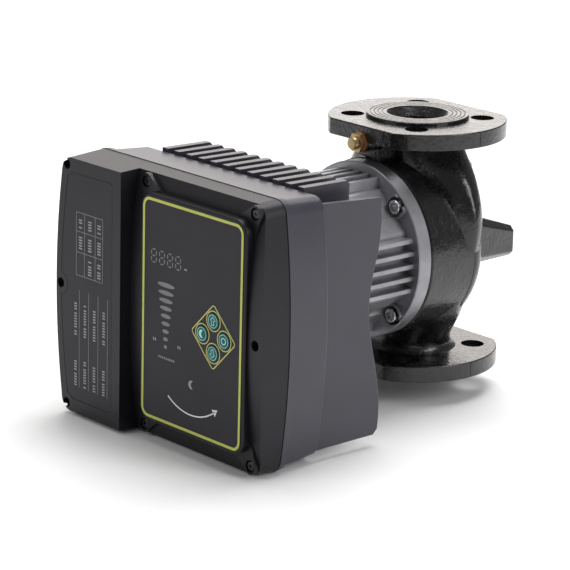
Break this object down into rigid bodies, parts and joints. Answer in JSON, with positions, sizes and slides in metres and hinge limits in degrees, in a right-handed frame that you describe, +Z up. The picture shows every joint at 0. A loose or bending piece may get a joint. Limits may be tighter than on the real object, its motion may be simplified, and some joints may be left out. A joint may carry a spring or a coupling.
{
  "type": "circulator pump",
  "caption": "In-line wet-rotor circulator pump: flanged cast volute, finned motor, and a finned control box with a key panel, display and terminal hood.",
  "frame": {"origin": "centre of the lower flange's bolting face, the flat ring that the bolt holes start from", "axes": "+Z up along the pipe axis, -Y out of the control panel, +X to the panel's right"},
  "size_m": [0.27, 0.353, 0.2382],
  "materials": {
    "casing_paint": "glossy black over a cast skin",
    "motor_aluminium": "satin cast",
    "base_grey": "fine satin",
    "cover_charcoal": "fine satin grain",
    "bezel_charcoal": "satin",
    "overlay_grey": "smooth matte film",
    "label_grey": "printed film",
    "lens_grey": "translucent",
    "display_dark": "dark lens",
    "key_green": "satin",
    "zinc": "bright zinc",
    "black_steel": "black oxide",
    "stainless": "brushed",
    "brass": "machined",
    "copper": "enamelled winding",
    "lamination": "stacked sheet",
    "magnet": "nickel plated",
    "carbon": "carbon graphite",
    "rubber_black": "matte",
    "board_green": "solder mask",
    "part_black": "moulded",
    "ferrite": "coated core",
    "gland_plastic": "moulded nylon",
    "impeller_composite": "glass filled",
    "pad_grey": "soft pad"
  },
  "bodies": {
    "pump_body": {"volute_casing": "casing_paint", "wear_ring": "stainless", "casing_gasket": "rubber_black", "vent_plug": "brass", "vent_washer": "copper", "front_bearing": "carbon", "rear_bearing": "carbon", "bearing_plate": "stainless", "rotor_can": "stainless", "can_seal": "rubber_black", "motor_housing": "motor_aluminium", "motor_screws": "zinc", "stator_core": "lamination", "stator_coils": "copper", "box_base": "base_grey", "box_seal": "rubber_black", "base_screws": "zinc", "front_cover": "cover_charcoal", "rating_label": "label_grey", "cover_screws": "black_steel", "panel_bezel": "bezel_charcoal", "bezel_screws": "zinc", "panel_overlay": "overlay_grey", "led_lenses": "lens_grey", "digit_display": "display_dark", "key_switches": "part_black", "display_board": "board_green", "power_board": "board_green", "board_screws": "zinc", "capacitors": "part_black", "choke": "ferrite", "power_module": "part_black", "thermal_pad": "pad_grey", "board_link": "part_black", "motor_plug": "part_black", "terminal_block": "gland_plastic", "earth_screw": "brass", "gland_body": "gland_plastic", "gland_cap": "gland_plastic", "gland_seal": "rubber_black", "gland_nut": "gland_plastic"},
    "rotor": {"shaft": "stainless", "rotor_core": "lamination", "rotor_magnets": "magnet", "rotor_ends": "stainless", "thrust_ring": "carbon", "impeller": "impeller_composite", "impeller_nut": "stainless"},
    "key_up": {"key_up": "key_green"},
    "key_down": {"key_down": "key_green"},
    "key_night": {"key_night": "key_green"},
    "key_power": {"key_power": "key_green"}
  },
  "joints": [
    {"name": "rotor_spin", "type": "hinge", "parent": "pump_body", "child": "rotor", "pos_m": [0, 0, 0.107], "axis": [0, 1, 0], "continuous": true},
    {"name": "key_up_press", "type": "slide", "parent": "pump_body", "child": "key_up", "axis": [0, 1, 0], "range_m": [0, 0.0005], "stiffness_N_per_m": 1500, "springref_m": -0.0005},
    {"name": "key_down_press", "type": "slide", "parent": "pump_body", "child": "key_down", "axis": [0, 1, 0], "range_m": [0, 0.0005], "stiffness_N_per_m": 1500, "springref_m": -0.0005},
    {"name": "key_night_press", "type": "slide", "parent": "pump_body", "child": "key_night", "axis": [0, 1, 0], "range_m": [0, 0.0005], "stiffness_N_per_m": 1500, "springref_m": -0.0005},
    {"name": "key_power_press", "type": "slide", "parent": "pump_body", "child": "key_power", "axis": [0, 1, 0], "range_m": [0, 0.0005], "stiffness_N_per_m": 1500, "springref_m": -0.0005}
  ]
}
